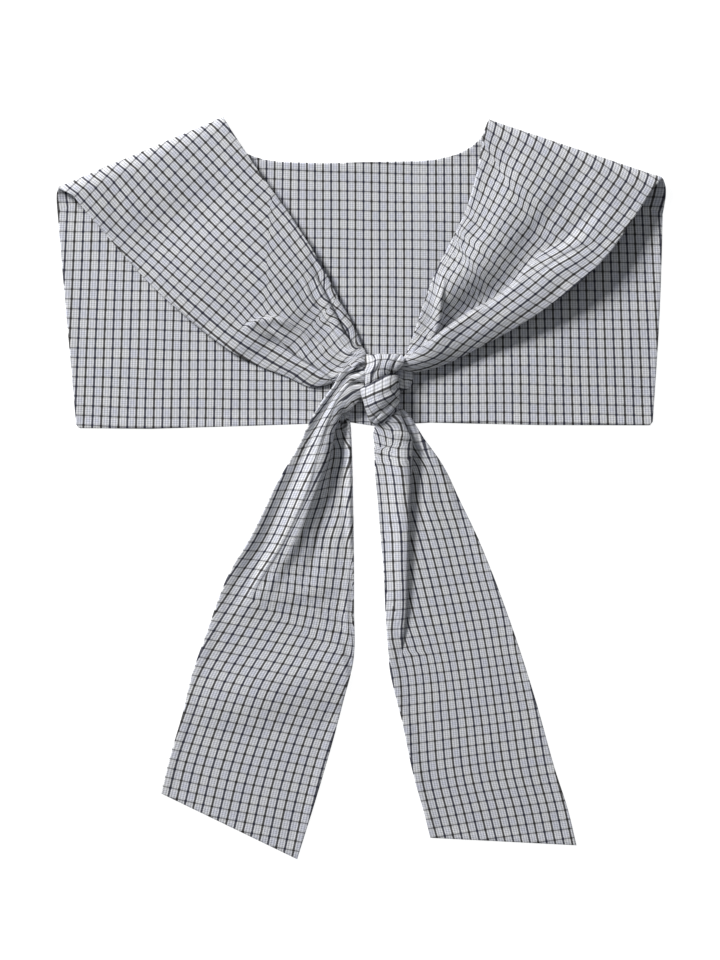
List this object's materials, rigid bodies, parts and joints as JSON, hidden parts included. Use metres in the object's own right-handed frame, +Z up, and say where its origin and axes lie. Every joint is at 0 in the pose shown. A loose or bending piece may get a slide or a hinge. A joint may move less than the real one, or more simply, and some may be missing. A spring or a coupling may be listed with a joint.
{
  "type": "capelet",
  "caption": "Short shoulder cape of checked cotton lying flat on its back, with two long front ends crossing in a soft knot and hanging as wide tails.",
  "frame": {"origin": "middle of the outline seen from above, on the surface that the capelet lies on", "axes": "+X to the right of the page as it lies, +Y up towards the neckline, +Z up off the surface"},
  "size_m": [0.486, 0.5884, 0.0235],
  "materials": {
    "checked_cotton": "matt woven cotton, pale grey with a fine dark window check",
    "knot_cotton": "the same checked cotton, drawn into folds"
  },
  "bodies": {
    "root": {"back_panel": "checked_cotton", "left_front": "checked_cotton", "right_front": "checked_cotton", "left_tail": "checked_cotton", "right_tail": "checked_cotton", "knot_top_wrap": "knot_cotton", "knot_front_wrap": "knot_cotton", "knot_side_loop": "knot_cotton"}
  },
  "joints": []
}
